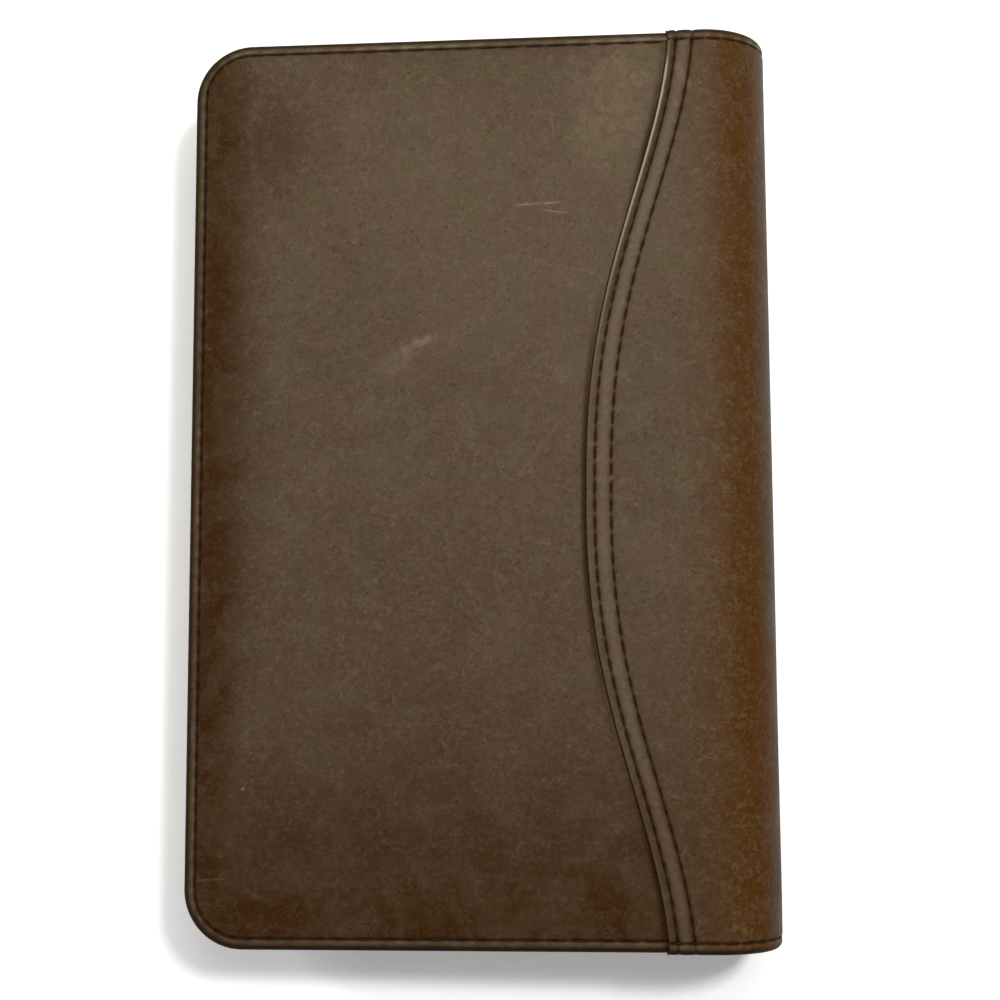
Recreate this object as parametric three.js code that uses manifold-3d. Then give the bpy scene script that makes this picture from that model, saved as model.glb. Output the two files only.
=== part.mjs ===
// A closed personal organizer in leather, lying on its front cover.
// Millimetres. X runs from the fore edge to the spine, Y from tail to head, and Z is up.
import * as THREE from "three";
import { mergeVertices } from "three/addons/utils/BufferGeometryUtils.js";
import Module from "manifold-3d";

const wasm = await Module();
wasm.setup();

const radians = THREE.MathUtils.degToRad;

// The case
const caseLength = 197;
const spineHeight = 36;
const backTilt = radians(4.1);
const foldRadius = 14.5;
const cornerRadius = 12.5;
const coverThickness = 3.8;
const leatherThickness = 1;
const liningThickness = 0.5;
const spineBoardThickness = 1.25;
const spineBoardHeight = 16;
const boardToFold = 3;
const layerGap = 0.25;
const miterGap = 0.3;

// The lapped seam on the back cover, measured along the cover from its fold
const lapRise = 0.5;
const lapStep = 0.4;
const lapUnder = 9;
const lapGap = 0.3;
const seamWaist = 26.1;
const seamSwing = 17.7;
const seamHalfLength = 103.4;
const seamCentre = -1.4;
const seamPower = 1.26;
const seamSteps = 26;
const cutPast = 0.2;

// The ring mechanism
const ringInside = 19;
const ringWire = 2;
const ringPitch = 19.05;
const ringMiddleGap = 50.8;
const ringsPerGroup = 3;
const ringTipGap = 0.1;
const housingLength = 176;
const housingWidth = 17;
const housingDepth = 3.2;
const housingSheet = 0.8;
const housingEndCut = 4;
const bladeToHousingEnd = 5.5;
const bladeSheet = 0.7;
const bladeInset = 0.45;
const bladeMiddleGap = 0.3;
const ringToHousing = 9.2;
const slotWidth = 3;
const slotClearance = 0.5;
const footClearance = 0.15;
const rivetFromEnd = 12;
const rivetShank = 2.8;
const rivetHead = 5.2;
const rivetDome = 0.9;
const rivetClearance = 0.2;
const rivetNotch = 0.8;
const leverPad = 9.5;
const leverSheet = 1.1;
const leverTongue = 3.2;
const leverTongueSheet = 0.77;
const leverTip = 3;
const leverInset = 1.6;
const runningGap = 0.3;

// The sheets on the rings
const sheetWidth = 95;
const sheetLength = 171;
const holeDiameter = 5;
const holeSlack = 0.45;
const holeToEdge = 6;
const sheetCorner = 2;
const sections = 6;
const dividerThickness = 0.4;
const sheetGap = 0.25;
const fillClearance = 0.5;
const tabReach = 6.5;
const tabLength = 28;
const tabCorner = 2.5;
const tabPitch = 34;

// Inside the front cover
const pocketSheet = 0.45;
const pocketGap = 0.12;
const pocketMargin = 3;
const slipPocketHinge = 9;
const cardPocketInset = 4;
const cardPocketTop = 34;
const cardPocketStep = 16;
const cardPocketCount = 3;
const windowWidth = 74;
const windowHeight = 50;
const windowUp = 14;
const windowCorner = 3;
const windowThickness = 0.3;
const windowClearance = 0.2;

// Inside the back cover
const notepadPanelSheet = 0.5;
const notepadCard = 0.6;
const notepadThickness = 1.6;
const notepadWidth = 74;
const notepadLength = 140;
const notepadBinding = 7;
const notepadFromFold = 14;
const notepadToPenLoop = 1;
const penHole = 7;
const penLoopWall = 0.55;
const penLoopLength = 26;
const penLoopTab = 3.5;
const penLoopInset = 1.2;
const penLoopToSheets = 0.51;
const penLoopSides = 18;

// Places worked out from the sizes
const middleZ = spineHeight / 2;
const boardRadius = foldRadius - leatherThickness - layerGap;
const boardBeyond = spineBoardHeight / 2 - (middleZ - foldRadius);
const boardReach = Math.sqrt(boardRadius ** 2 - boardBeyond ** 2);
const spineDepth = foldRadius - boardReach + spineBoardThickness + layerGap + liningThickness;
const ringRadius = (ringInside + ringWire) / 2;
const holeRadius = ringRadius + holeDiameter / 2 - ringWire / 2 - holeSlack;
const penLoopOuter = penHole / 2 + penLoopWall;
const foreMargin = penLoopInset + 2 * penLoopOuter + penLoopToSheets;
const ringToSpine = ringToHousing + housingDepth + spineDepth;
const caseWidth = foreMargin + sheetWidth - holeToEdge + holeRadius + ringToSpine;
const halfWidth = caseWidth / 2;
const halfLength = caseLength / 2;
const foldX = halfWidth - foldRadius;
const lowerFold = { x: foldX, z: foldRadius, turn: Math.PI / 2 };
const upperFold = { x: foldX, z: spineHeight - foldRadius, turn: Math.PI / 2 + backTilt };
const coverReach = (caseWidth - foldRadius * (1 + Math.sin(backTilt))) / Math.cos(backTilt);
const foreX = foldX - coverReach;
const spineBoardX = foldX + boardReach;
const spineLiningX = spineBoardX - spineBoardThickness - layerGap;
const spineInnerX = spineLiningX - liningThickness;

const housingX = spineInnerX - housingDepth;
const ringX = housingX - ringToHousing;
const rivetPlace = housingLength / 2 - rivetFromEnd;
const bladeLength = housingLength - 2 * bladeToHousingEnd;
const bladeX = spineInnerX - layerGap - bladeSheet - runningGap;
const bladeEdge = housingWidth / 2 - housingSheet - bladeInset;
const footAngle = Math.acos((bladeX - footClearance - ringX) / (ringRadius + ringWire / 2));

const pocketTopZ = coverThickness + (cardPocketCount + 1) * (pocketSheet + pocketGap);
const notepadDepth = coverThickness + notepadPanelSheet + notepadCard + notepadThickness + 3 * layerGap;
const sheetForeX = ringX - holeRadius + holeToEdge - sheetWidth;
const backSlopeZ = (x) => spineHeight - foldRadius * (1 - Math.cos(backTilt))
  - (foldX - foldRadius * Math.sin(backTilt) - x) * Math.tan(backTilt);
const roofZ = backSlopeZ(sheetForeX) - notepadDepth / Math.cos(backTilt) - fillClearance;
const floorZ = pocketTopZ + fillClearance;
const fillHalf = (roofZ - floorZ) / 2;
const sheetTilt = Math.asin((middleZ - (roofZ + floorZ) / 2) / (ringX - sheetForeX));
const sectionThickness = (2 * fillHalf - (sections - 1) * (dividerThickness + 2 * sheetGap)) / sections;

const ringPlaces = [];
for (let i = 0; i < ringsPerGroup; i++) {
  const y = ringMiddleGap / 2 + i * ringPitch;
  ringPlaces.push(y, -y);
}
ringPlaces.sort((a, b) => b - a);

// Materials
const paint = (color, roughness, metalness = 0) =>
  new THREE.MeshStandardMaterial({ color, roughness, metalness });
const leather = paint(0x5a4028, 0.5);
const spineLeather = paint(0x573a20, 0.48);
const lining = paint(0x3c2b1e, 0.75);
const board = paint(0x8a7a66, 0.9);
const nickel = paint(0xc4c2bc, 0.25, 1);
const paper = paint(0xf1ead8, 0.9);
const card = paint(0xd8c49c, 0.85);
const clearFilm = paint(0xdfe6e8, 0.1);

const part = new THREE.Group();

function solidOf(geometry) {
  const bare = geometry.clone();
  bare.deleteAttribute("normal");
  bare.deleteAttribute("uv");
  const merged = mergeVertices(bare, 1e-4);
  return new wasm.Manifold(
    new wasm.Mesh({
      numProp: 3,
      vertProperties: new Float32Array(merged.attributes.position.array),
      triVerts: new Uint32Array(merged.index.array),
    }),
  );
}

function geometryOf(solid) {
  const mesh = solid.getMesh();
  const geometry = new THREE.BufferGeometry();
  geometry.setAttribute("position", new THREE.BufferAttribute(mesh.vertProperties, 3));
  geometry.setIndex(new THREE.BufferAttribute(mesh.triVerts, 1));
  geometry.computeVertexNormals();
  return geometry;
}

function addPiece(group, name, solid, material) {
  const mesh = new THREE.Mesh(geometryOf(solid), material);
  mesh.name = name;
  group.add(mesh);
}

function shapeOf(points) {
  return new THREE.Shape(points.map(([a, b]) => new THREE.Vector2(a, b)));
}

// A shape drawn in X and Y, made solid from one height to another.
function plate(shape, fromZ, toZ, curveSegments = 8) {
  const geometry = new THREE.ExtrudeGeometry(shape, {
    depth: toZ - fromZ,
    bevelEnabled: false,
    curveSegments,
  });
  geometry.translate(0, 0, fromZ);
  return solidOf(geometry);
}

// A profile drawn in X and Z, made solid along Y.
function bar(points, fromY, toY) {
  const geometry = new THREE.ExtrudeGeometry(shapeOf(points), {
    depth: toY - fromY,
    bevelEnabled: false,
  });
  geometry.rotateX(Math.PI / 2);
  geometry.translate(0, toY, 0);
  return solidOf(geometry);
}

function box(fromX, toX, fromY, toY, fromZ, toZ) {
  const geometry = new THREE.BoxGeometry(toX - fromX, toY - fromY, toZ - fromZ);
  geometry.translate((fromX + toX) / 2, (fromY + toY) / 2, (fromZ + toZ) / 2);
  return solidOf(geometry);
}

function roundedShape(fromX, toX, fromY, toY, foreRadius, foldSideRadius = 0) {
  const shape = new THREE.Shape();
  shape.moveTo(fromX + foreRadius, fromY);
  shape.lineTo(toX - foldSideRadius, fromY);
  const quarter = Math.PI / 2;
  const corner = (x, y, radius, from) => {
    if (radius > 0) shape.absarc(x, y, radius, from, from + quarter);
  };
  corner(toX - foldSideRadius, fromY + foldSideRadius, foldSideRadius, -quarter);
  shape.lineTo(toX, toY - foldSideRadius);
  corner(toX - foldSideRadius, toY - foldSideRadius, foldSideRadius, 0);
  shape.lineTo(fromX + foreRadius, toY);
  corner(fromX + foreRadius, toY - foreRadius, foreRadius, quarter);
  shape.lineTo(fromX, fromY + foreRadius);
  corner(fromX + foreRadius, fromY + foreRadius, foreRadius, 2 * quarter);
  return shape;
}

// A point, and points along an arc, in the X and Z plane.
function pointOn(centre, radius, angle) {
  return [centre.x + radius * Math.cos(angle), centre.z + radius * Math.sin(angle)];
}

function arcPoints(centre, radius, from, to, steps) {
  const points = [];
  for (let i = 0; i <= steps; i++) points.push(pointOn(centre, radius, from + ((to - from) * i) / steps));
  return points;
}

// One cover in its own frame: outer face at z = 0, fold at foldX, and half the fold's arc at its end.
const coverFold = { x: foldX, z: foldRadius };
const arcSteps = 5;

// It runs past the fold's middle by an angle where it only cuts.
function coverSlice(fromDepth, toDepth, turn, past = 0) {
  const start = -Math.PI / 2;
  const end = start + turn / 2 - miterGap / 2 / foldRadius + past;
  const outer = arcPoints(coverFold, foldRadius - fromDepth, start, end, arcSteps);
  const inner = arcPoints(coverFold, foldRadius - toDepth, end, start, arcSteps);
  const profile = [[foreX - 1, fromDepth], ...outer, ...inner, [foreX - 1, toDepth]];
  return bar(profile, -halfLength - 1, halfLength + 1);
}

function coverPlan(inset, endInset = inset) {
  const shape = roundedShape(
    foreX + inset,
    halfWidth + 1,
    -halfLength + endInset,
    halfLength - endInset,
    cornerRadius - inset,
  );
  return plate(shape, -1, spineHeight);
}

// The leather of a cover: its face and the turned edge round head, fore edge and tail.
function coverLeather(outerDepth, turn, step) {
  const whole = coverSlice(outerDepth, coverThickness, turn).intersect(coverPlan(0, step));
  const hollow = coverSlice(outerDepth + leatherThickness, coverThickness + 1, turn, cutPast);
  return whole.subtract(hollow.intersect(coverPlan(leatherThickness, leatherThickness + step)));
}

function coverBoard(outerDepth, step) {
  const inset = leatherThickness + layerGap;
  const shape = roundedShape(
    foreX + inset,
    foldX - boardToFold,
    -halfLength + inset + step,
    halfLength - inset - step,
    cornerRadius - inset,
  );
  return plate(shape, outerDepth + inset, coverThickness - liningThickness - layerGap);
}

function coverLining(turn, step) {
  const inset = leatherThickness + layerGap;
  const sheet = coverSlice(coverThickness - liningThickness, coverThickness, turn);
  return sheet.intersect(coverPlan(inset, inset + step));
}

// How far the lapped edge stands from the fold, along the cover, at a height y on the case.
function seamReach(y) {
  const t = Math.min(1, Math.abs(y - seamCentre) / seamHalfLength);
  return seamWaist - seamSwing * (0.5 - 0.5 * Math.cos(Math.PI * t ** seamPower));
}

// Everything on the fold side of the lapped edge, moved by a distance away from the fold.
function seamSide(away, depth) {
  const points = [];
  for (let i = 0; i <= seamSteps; i++) {
    const y = halfLength * 1.05 * ((2 * i) / seamSteps - 1);
    points.push([foldX - seamReach(-y) - away, y]);
  }
  points.push([halfWidth * 2, halfLength * 1.05], [halfWidth * 2, -halfLength * 1.05]);
  return plate(shapeOf(points.reverse()), -1, depth);
}

// The front cover

const frontCover = new THREE.Group();
part.add(frontCover);

addPiece(frontCover, "front_leather", coverLeather(0, lowerFold.turn, 0), leather);
addPiece(frontCover, "front_board", coverBoard(0, 0), board);
addPiece(frontCover, "front_lining", coverLining(lowerFold.turn, 0), lining);

function windowShape(middle, low, inset) {
  return roundedShape(
    middle - windowWidth / 2 + inset,
    middle + windowWidth / 2 - inset,
    low + inset,
    low + windowHeight - inset,
    windowCorner - inset,
    windowCorner - inset,
  );
}

function addPockets() {
  const levelZ = (i) => coverThickness + pocketGap + i * (pocketSheet + pocketGap);
  const left = foreX + pocketMargin;
  const tail = -halfLength + pocketMargin;
  const slip = roundedShape(left, foldX - slipPocketHinge, tail, -tail, cornerRadius - pocketMargin);
  addPiece(frontCover, "slip_pocket", plate(slip, levelZ(0), levelZ(0) + pocketSheet), leather);
  const right = foldX - slipPocketHinge - cardPocketInset;
  for (let i = 1; i <= cardPocketCount; i++) {
    const top = cardPocketTop - (i - 1) * cardPocketStep;
    const whole = plate(roundedShape(left, right, tail, top, 0), levelZ(i), levelZ(i) + pocketSheet);
    let pocket = whole.intersect(coverPlan(pocketMargin));
    if (i === cardPocketCount) {
      const middle = (left + right) / 2;
      const low = tail + windowUp;
      pocket = pocket.subtract(plate(windowShape(middle, low, 0), 0, spineHeight, 3));
      const glazing = windowShape(middle, low, windowClearance);
      const pane = plate(glazing, levelZ(i), levelZ(i) + windowThickness, 3);
      addPiece(frontCover, "window_pane", pane, clearFilm);
    }
    addPiece(frontCover, "card_pocket_" + i, pocket, leather);
  }
}

addPockets();

// The spine

const spine = new THREE.Group();
part.add(spine);

function spineSlice(fromDepth, toDepth, past = 0) {
  const trim = miterGap / 2 / foldRadius - past;
  const low = -lowerFold.turn / 2 + trim;
  const high = upperFold.turn / 2 - trim;
  const profile = [
    ...arcPoints(lowerFold, foldRadius - fromDepth, low, 0, arcSteps),
    ...arcPoints(upperFold, foldRadius - fromDepth, 0, high, arcSteps),
    ...arcPoints(upperFold, foldRadius - toDepth, high, 0, arcSteps),
    ...arcPoints(lowerFold, foldRadius - toDepth, 0, low, arcSteps),
  ];
  return profile;
}

function spineLeatherSolid() {
  const whole = bar(spineSlice(0, coverThickness), -halfLength, halfLength);
  const end = halfLength - leatherThickness;
  return whole.subtract(bar(spineSlice(leatherThickness, coverThickness + 1, cutPast), -end, end));
}

// The spine's lining: flat over the board, then out to each fold's middle.
function spineLiningSolid() {
  const flat = housingWidth / 2 + liningThickness;
  const outerRadius = foldRadius - coverThickness + liningThickness;
  const innerRadius = foldRadius - coverThickness;
  const trim = miterGap / 2 / foldRadius;
  const low = -lowerFold.turn / 2 + trim;
  const high = upperFold.turn / 2 - trim;
  const profile = [
    pointOn(lowerFold, outerRadius, low),
    [spineLiningX, middleZ - flat],
    [spineLiningX, middleZ + flat],
    pointOn(upperFold, outerRadius, high),
    pointOn(upperFold, innerRadius, high),
    [spineInnerX, middleZ + flat - liningThickness / 2],
    [spineInnerX, middleZ - flat + liningThickness / 2],
    pointOn(lowerFold, innerRadius, low),
  ];
  const end = halfLength - leatherThickness - layerGap;
  return bar(profile, -end, end);
}

function spineBoardSolid() {
  const half = spineBoardHeight / 2;
  const end = halfLength - leatherThickness - layerGap;
  const inner = spineBoardX - spineBoardThickness;
  return box(inner, spineBoardX, -end, end, middleZ - half, middleZ + half);
}

// A round pin or disc along X, at a height y on the case.
function pinAlongX(radius, fromX, toX, y, sides = 12) {
  const geometry = new THREE.CylinderGeometry(radius, radius, toX - fromX, sides);
  geometry.rotateZ(Math.PI / 2);
  geometry.translate((fromX + toX) / 2, y, middleZ);
  return solidOf(geometry);
}

const rivetHole = rivetShank / 2 + rivetClearance;
const rivetEndX = spineBoardX - layerGap;

function drillRivets(solid, radius) {
  for (const y of [rivetPlace, -rivetPlace]) {
    solid = solid.subtract(pinAlongX(radius, housingX - 1, spineBoardX + 1, y));
  }
  return solid;
}

function rivetSolid(y) {
  const head = rivetHead / 2;
  const shank = rivetShank / 2;
  const headX = housingX - rivetClearance;
  const points = [
    [0, headX - rivetDome],
    [head * 0.6, headX - rivetDome * 0.75],
    [head, headX - rivetDome * 0.2],
    [head, headX],
    [shank, headX],
    [shank, rivetEndX],
    [0, rivetEndX],
  ];
  const geometry = new THREE.LatheGeometry(points.map(([r, x]) => new THREE.Vector2(r, x)), 14);
  geometry.rotateZ(-Math.PI / 2);
  geometry.translate(0, y, middleZ);
  return solidOf(geometry);
}

// The housing: a channel open towards the spine, with a slot for each ring's two feet.
function housingSolid() {
  const half = housingWidth / 2;
  const end = housingLength / 2;
  const web = end - housingEndCut;
  let solid = box(housingX, spineInnerX, -end, end, middleZ - half, middleZ + half);
  const inside = half - housingSheet;
  solid = solid.subtract(
    box(housingX + housingSheet, spineInnerX + 1, -end - 1, end + 1, middleZ - inside, middleZ + inside),
  );
  for (const side of [1, -1]) {
    const cut = [web, end + 1].map((y) => y * side).sort((a, b) => a - b);
    solid = solid.subtract(
      box(housingX - 1, spineInnerX, cut[0], cut[1], middleZ - inside, middleZ + inside),
    );
  }
  const slotDeep = housingX + housingSheet + 1;
  const slotOuter = Math.sqrt((ringRadius + ringWire / 2) ** 2 - ringToHousing ** 2) + slotClearance;
  const slotInner = (ringRadius - ringWire / 2) * Math.sin(footAngle) - slotClearance;
  for (const y of ringPlaces) {
    for (const side of [1, -1]) {
      const cut = [slotInner, slotOuter].map((z) => middleZ + z * side).sort((a, b) => a - b);
      const slot = box(housingX - 1, slotDeep, y - slotWidth / 2, y + slotWidth / 2, cut[0], cut[1]);
      solid = solid.subtract(slot);
    }
  }
  return drillRivets(solid, rivetHole);
}

addPiece(spine, "spine_leather", spineLeatherSolid(), spineLeather);
addPiece(spine, "spine_board", drillRivets(spineBoardSolid(), rivetHole), board);
addPiece(spine, "spine_lining", drillRivets(spineLiningSolid(), rivetHole), lining);
addPiece(spine, "ring_housing", housingSolid(), nickel);
addPiece(spine, "head_rivet", rivetSolid(rivetPlace), nickel);
addPiece(spine, "tail_rivet", rivetSolid(-rivetPlace), nickel);

// The sprung blades and the half rings on them

class RingArc extends THREE.Curve {
  constructor(from, to) {
    super();
    this.from = from;
    this.to = to;
  }

  getPoint(t, target = new THREE.Vector3()) {
    const angle = this.from + (this.to - this.from) * t;
    return target.set(ringX + ringRadius * Math.cos(angle), 0, middleZ + ringRadius * Math.sin(angle));
  }
}

function halfRing(side, y) {
  const tip = Math.PI - ringTipGap / 2 / ringRadius;
  const section = new THREE.Shape().absarc(0, 0, ringWire / 2, 0, Math.PI * 2);
  const geometry = new THREE.ExtrudeGeometry(section, {
    steps: 14,
    curveSegments: 4,
    extrudePath: new RingArc(side * footAngle, side * tip),
  });
  geometry.translate(0, y, 0);
  return solidOf(geometry);
}

function bladeSolid(side) {
  const edges = [bladeMiddleGap / 2, bladeEdge].map((z) => middleZ + side * z).sort((a, b) => a - b);
  const blade = box(bladeX, bladeX + bladeSheet, -bladeLength / 2, bladeLength / 2, edges[0], edges[1]);
  return drillRivets(blade, rivetShank / 2 + rivetNotch);
}

for (const [name, side] of [["upper", 1], ["lower", -1]]) {
  const group = new THREE.Group();
  spine.add(group);
  addPiece(group, name + "_blade", bladeSolid(side), nickel);
  ringPlaces.forEach((y, i) => {
    addPiece(group, name + "_half_ring_" + (i + 1), halfRing(side, y), nickel);
  });
}

// The levers at the housing's ends: a finger pad, and a tongue that lifts the blades.
function leverSolid(end) {
  const half = housingWidth / 2 - housingSheet - runningGap;
  const baseY = housingLength / 2 - leverInset;
  const backX = spineInnerX - runningGap;
  const tongueX = backX - leverTongueSheet;
  const tipX = tongueX - leverPad;
  const profile = [
    [tipX, baseY],
    [tongueX, baseY],
    [tongueX, baseY - leverTongue],
    [backX, baseY - leverTongue],
    [backX, baseY + leverSheet],
    [tipX, baseY + leverSheet],
  ];
  const bent = plate(shapeOf(profile), middleZ - half, middleZ + half);
  const face = new THREE.ExtrudeGeometry(roundedShape(tipX, backX, -half, half, leverTip), {
    depth: housingLength,
    bevelEnabled: false,
    curveSegments: 5,
  });
  face.rotateX(Math.PI / 2);
  face.translate(0, housingLength, middleZ);
  const lever = bent.intersect(solidOf(face));
  return end > 0 ? lever : lever.mirror([0, 1, 0]);
}

addPiece(spine, "head_lever", leverSolid(1), nickel);
addPiece(spine, "tail_lever", leverSolid(-1), nickel);

// The sheets, drawn flat round the ring's centre and tilted together

const filling = new THREE.Group();
filling.position.set(ringX, 0, middleZ);
filling.rotation.y = -sheetTilt;
part.add(filling);

const holeCutters = ringPlaces.map((y) => {
  const geometry = new THREE.TorusGeometry(holeRadius, holeDiameter / 2, 8, 28);
  geometry.rotateX(Math.PI / 2);
  geometry.translate(0, y, 0);
  return solidOf(geometry);
});

const sheetShift = (v) => holeRadius - Math.sqrt(holeRadius ** 2 - v ** 2);

function punch(solid) {
  for (const cutter of holeCutters) solid = solid.subtract(cutter);
  return solid;
}

function sectionSolid(low, high) {
  const edge = holeToEdge - holeRadius;
  const profile = [
    [edge - sheetWidth + sheetShift(low), low],
    [edge + sheetShift(low), low],
    [edge + sheetShift(high), high],
    [edge - sheetWidth + sheetShift(high), high],
  ];
  return punch(bar(profile, -sheetLength / 2, sheetLength / 2));
}

function dividerSolid(low, tabY) {
  const edge = holeToEdge - holeRadius + sheetShift(low + dividerThickness / 2);
  const half = sheetLength / 2;
  const outline = roundedShape(edge - sheetWidth, edge, -half, half, sheetCorner);
  const sheet = plate(outline, low, low + dividerThickness, 2);
  const tab = roundedShape(
    edge - sheetWidth - tabReach,
    edge - sheetWidth + tabCorner * 2,
    tabY - tabLength / 2,
    tabY + tabLength / 2,
    tabCorner,
  );
  return punch(sheet.add(plate(tab, low, low + dividerThickness, 3)));
}

let level = -fillHalf;
for (let i = 1; i <= sections; i++) {
  addPiece(filling, "sheets_" + i, sectionSolid(level, level + sectionThickness), paper);
  level += sectionThickness + sheetGap;
  if (i < sections) {
    const tabY = tabPitch * (sections / 2 - i);
    addPiece(filling, "divider_" + i, dividerSolid(level, tabY), card);
    level += dividerThickness + sheetGap;
  }
}

// The back cover, built like the front one, then turned over and tilted down to the fore edge

const backTurned = new THREE.Group();
backTurned.position.set(upperFold.x, 0, upperFold.z);
backTurned.rotation.y = -backTilt;
const backFlipped = new THREE.Group();
backFlipped.rotation.x = Math.PI;
const backCover = new THREE.Group();
backCover.position.set(-coverFold.x, 0, -coverFold.z);
backFlipped.add(backCover);
backTurned.add(backFlipped);
part.add(backTurned);

function backPanelSolid() {
  const tray = coverLeather(lapRise, upperFold.turn, lapStep).subtract(seamSide(lapGap, spineHeight));
  const sheet = coverSlice(leatherThickness + layerGap, leatherThickness + lapRise, upperFold.turn);
  const inset = leatherThickness + layerGap;
  const under = sheet.intersect(coverPlan(inset, inset + lapStep)).subtract(seamSide(-lapUnder, spineHeight));
  return tray.add(under);
}

function backLapSolid() {
  return coverLeather(0, upperFold.turn, 0).intersect(seamSide(0, spineHeight));
}

addPiece(backCover, "back_panel_leather", backPanelSolid(), leather);
addPiece(backCover, "back_spine_leather", backLapSolid(), spineLeather);
addPiece(backCover, "back_board", coverBoard(lapRise, lapStep), board);
addPiece(backCover, "back_lining", coverLining(upperFold.turn, lapStep), lining);

const penLoop = { x: foreX + penLoopInset + penLoopOuter, z: coverThickness + layerGap + penLoopOuter };

function addNotepad() {
  const right = foldX - notepadFromFold;
  const panelLeft = penLoop.x + penLoopOuter + penLoopTab + notepadToPenLoop;
  const panelZ = coverThickness + layerGap;
  const cardZ = panelZ + notepadPanelSheet + layerGap;
  const padZ = cardZ + notepadCard + layerGap;
  const panelEnd = halfLength - pocketMargin;
  const middle = (panelLeft + right) / 2;
  const padLeft = middle - notepadWidth / 2;
  const padRight = padLeft + notepadWidth;
  const padEnd = notepadLength / 2;
  const outline = roundedShape(panelLeft, right, -panelEnd, panelEnd, sheetCorner, sheetCorner);
  addPiece(backCover, "notepad_panel", plate(outline, panelZ, panelZ + notepadPanelSheet, 2), leather);
  const backing = box(padLeft, padRight, -padEnd, padEnd, cardZ, cardZ + notepadCard);
  addPiece(backCover, "notepad_card", backing, card);
  const padSlab = (fromY, toY) => box(padLeft, padRight, fromY, toY, padZ, padZ + notepadThickness);
  addPiece(backCover, "notepad_sheets", padSlab(-padEnd + notepadBinding, padEnd), paper);
  addPiece(backCover, "notepad_binding", padSlab(-padEnd, -padEnd + notepadBinding - layerGap), lining);
}

// The pen loop: a band round the pen, with a sewn tab on the lining.
function penLoopSolid() {
  const half = penLoopLength / 2;
  const lastAngle = (Math.PI * 2 * (penLoopSides - 1)) / penLoopSides;
  const band = bar(arcPoints(penLoop, penLoopOuter, 0, lastAngle, penLoopSides - 1), -half, half);
  const hole = bar(arcPoints(penLoop, penHole / 2, 0, lastAngle, penLoopSides - 1), -half - 1, half + 1);
  const tabZ = coverThickness + layerGap;
  const tab = box(penLoop.x, penLoop.x + penLoopOuter + penLoopTab, -half, half, tabZ, tabZ + penLoopWall);
  return band.add(tab).subtract(hole);
}

addNotepad();
addPiece(backCover, "pen_loop", penLoopSolid(), spineLeather);

export default part;
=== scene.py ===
import math
import bpy
import numpy as np
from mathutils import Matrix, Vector


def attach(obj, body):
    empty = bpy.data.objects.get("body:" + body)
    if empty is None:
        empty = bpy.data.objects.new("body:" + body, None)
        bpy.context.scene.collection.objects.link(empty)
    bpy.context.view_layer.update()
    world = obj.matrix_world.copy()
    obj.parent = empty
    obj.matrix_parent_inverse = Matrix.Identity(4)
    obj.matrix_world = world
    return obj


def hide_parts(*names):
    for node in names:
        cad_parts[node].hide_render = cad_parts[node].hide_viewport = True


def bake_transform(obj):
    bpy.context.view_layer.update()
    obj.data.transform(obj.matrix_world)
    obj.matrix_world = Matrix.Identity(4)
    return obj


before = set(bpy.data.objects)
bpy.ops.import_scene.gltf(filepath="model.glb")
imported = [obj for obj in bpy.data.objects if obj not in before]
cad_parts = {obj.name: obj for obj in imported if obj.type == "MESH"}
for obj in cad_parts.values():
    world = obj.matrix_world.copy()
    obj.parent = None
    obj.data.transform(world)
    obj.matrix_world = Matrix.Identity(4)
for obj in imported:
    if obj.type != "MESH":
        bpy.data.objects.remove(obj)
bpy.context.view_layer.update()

mm = 0.001
farAway = 99.0  # further from an edge than anything on the case, in millimetres
weldGap = 0.000004

# the closed case, in millimetres, row frame: spine at +x, head at +y, lying on its front cover
case = {
    "foldX": 48.899,
    "foldRadius": 14.5,
    "lowerFold": 14.5,
    "upperFold": 21.5,
    "middle": 18.0,
    "backTilt": math.radians(4.1),
    "reach": 111.85,
    "halfLength": 98.5,
    "pitch": 3.75,
    "skin": 0.8,
}
case["halfSpine"] = case["middle"] - case["lowerFold"]
case["upperArc"] = case["foldRadius"] * (math.pi / 2 + case["backTilt"])
case["lowerArc"] = case["foldRadius"] * math.pi / 2
case["backEdge"] = case["halfSpine"] + case["upperArc"] + case["reach"]
case["frontEdge"] = case["halfSpine"] + case["lowerArc"] + case["reach"]


# camera and room
print("camera and lamps")


def addCamera(settings):
    bpy.ops.object.camera_add(location=settings["place"], rotation=settings["turn"])
    camera = bpy.context.object
    camera.name = "photo_camera"
    camera.data.sensor_width = 36
    camera.data.lens = settings["lens"]
    camera.data.clip_start = 0.01
    camera.data.clip_end = 20
    bpy.context.scene.camera = camera


def addLamp(name, place, aim, size, power, colour, glossy):
    bpy.ops.object.light_add(type='AREA', location=place)
    lamp = bpy.context.object
    lamp.name = name
    lamp.data.shape = 'RECTANGLE'
    lamp.data.size = size[0]
    lamp.data.size_y = size[1]
    lamp.data.energy = power
    lamp.data.color = colour
    lamp.visible_glossy = glossy
    lamp.rotation_euler = (Vector(aim) - Vector(place)).to_track_quat('-Z', 'Y').to_euler()


addCamera({
    "place": (0.0056957, -0.0446623, 0.3888476),
    "turn": (0.1129, 0.0061, -0.0044),
    "lens": 60.52,
})

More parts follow.
